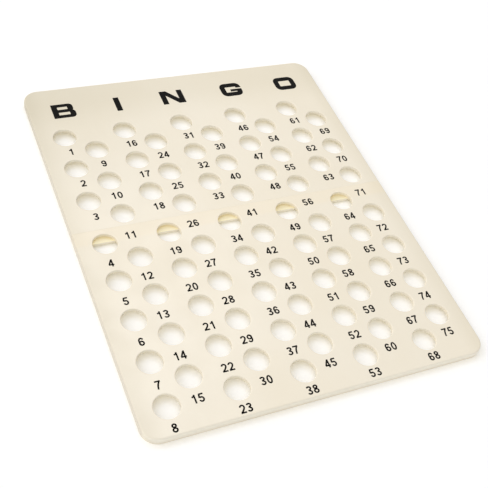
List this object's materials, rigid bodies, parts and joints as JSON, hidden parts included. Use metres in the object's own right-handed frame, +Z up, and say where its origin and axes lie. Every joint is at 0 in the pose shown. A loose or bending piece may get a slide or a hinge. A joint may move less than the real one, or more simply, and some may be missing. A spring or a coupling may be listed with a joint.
{
  "type": "bingo master board",
  "caption": "Flat two-panel plastic board with rows of round through-holes that seat numbered balls; the lower panel laps over the upper one and lifts off.",
  "frame": {"origin": "on the table, under the middle of the board's outline", "axes": "+X to the right of a reader, +Y towards the heading edge, +Z up out of the printed face"},
  "size_m": [0.2144, 0.2706, 0.005],
  "materials": {
    "cream_plastic": "satin moulded polystyrene, cream",
    "print_ink": "thin matt black printing ink"
  },
  "bodies": {
    "upper_panel": {"upper_panel": "cream_plastic"},
    "lower_panel": {"lower_panel": "cream_plastic"}
  },
  "joints": [
    {"name": "lower_panel_lift", "type": "slide", "parent": "upper_panel", "child": "lower_panel", "axis": [0, 0, 1], "range_m": [0, 0.02]}
  ]
}
